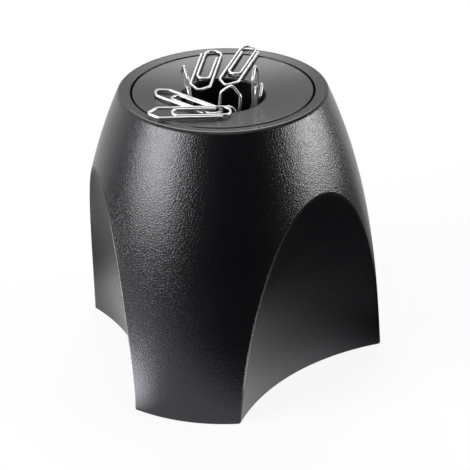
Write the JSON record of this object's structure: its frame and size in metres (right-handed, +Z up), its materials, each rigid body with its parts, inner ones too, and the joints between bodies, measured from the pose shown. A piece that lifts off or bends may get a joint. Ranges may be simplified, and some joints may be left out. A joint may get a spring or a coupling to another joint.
{
  "type": "magnetic paper clip holder",
  "caption": "Moulded desk hopper on spreading feet with concave sides and a dished lift-off lid; a ring magnet round the lid's mouth holds loose wire paper clips.",
  "frame": {"origin": "on the housing's axis at the level of the desk", "axes": "+Z up along the housing's axis, -Y towards the foot nearest the camera, +X to the right of it"},
  "size_m": [0.0994, 0.0915, 0.1008],
  "materials": {
    "housing_plastic": "black moulded plastic with a fine leather grain and a satin sheen",
    "base_plastic": "black moulded plastic, fine spark texture",
    "lid_plastic": "smooth black moulded plastic, semi-gloss",
    "ferrite": "ground sintered ferrite, dark grey",
    "screw_steel": "zinc-plated steel",
    "clip_wire": "drawn galvanised steel wire, bright"
  },
  "bodies": {
    "housing": {"housing": "housing_plastic", "base_plate": "base_plastic", "base_screw_1": "screw_steel", "base_screw_2": "screw_steel", "base_screw_3": "screw_steel"},
    "lid": {"lid": "lid_plastic", "ring_magnet": "ferrite", "magnet_retainer": "base_plastic"},
    "clip_front_lower": {"clip_front_lower": "clip_wire"},
    "clip_front_upper": {"clip_front_upper": "clip_wire"},
    "clip_back_left": {"clip_back_left": "clip_wire"},
    "clip_back_right": {"clip_back_right": "clip_wire"},
    "clip_mouth_left": {"clip_mouth_left": "clip_wire"},
    "clip_mouth_front": {"clip_mouth_front": "clip_wire"},
    "clip_mouth_right": {"clip_mouth_right": "clip_wire"},
    "clip_mouth_far_right": {"clip_mouth_far_right": "clip_wire"}
  },
  "joints": [
    {"name": "lid_lift", "type": "slide", "parent": "housing", "child": "lid", "axis": [0, 0, 1], "range_m": [0, 0.03]},
    {"name": "front_lower_pull", "type": "slide", "parent": "lid", "child": "clip_front_lower", "axis": [-0.271, -0.583, 0.766], "range_m": [0, 0.03]},
    {"name": "front_upper_pull", "type": "slide", "parent": "clip_front_lower", "child": "clip_front_upper", "axis": [-0.271, -0.583, 0.766], "range_m": [0, 0.03]},
    {"name": "back_left_pull", "type": "slide", "parent": "lid", "child": "clip_back_left", "axis": [0, 0, 1], "range_m": [0, 0.03]},
    {"name": "back_right_pull", "type": "slide", "parent": "lid", "child": "clip_back_right", "axis": [0, 0, 1], "range_m": [0, 0.03]},
    {"name": "mouth_left_pull", "type": "slide", "parent": "lid", "child": "clip_mouth_left", "axis": [-0.122, 0.0195, 0.9923], "range_m": [0, 0.03]},
    {"name": "mouth_front_pull", "type": "slide", "parent": "lid", "child": "clip_mouth_front", "axis": [0.1137, -0.017, 0.9934], "range_m": [0, 0.03]},
    {"name": "mouth_right_pull", "type": "slide", "parent": "lid", "child": "clip_mouth_right", "axis": [-0.0051, -0.0292, 0.9996], "range_m": [0, 0.03]},
    {"name": "mouth_far_right_pull", "type": "slide", "parent": "lid", "child": "clip_mouth_far_right", "axis": [0.2972, 0.0847, 0.9511], "range_m": [0, 0.03]}
  ]
}
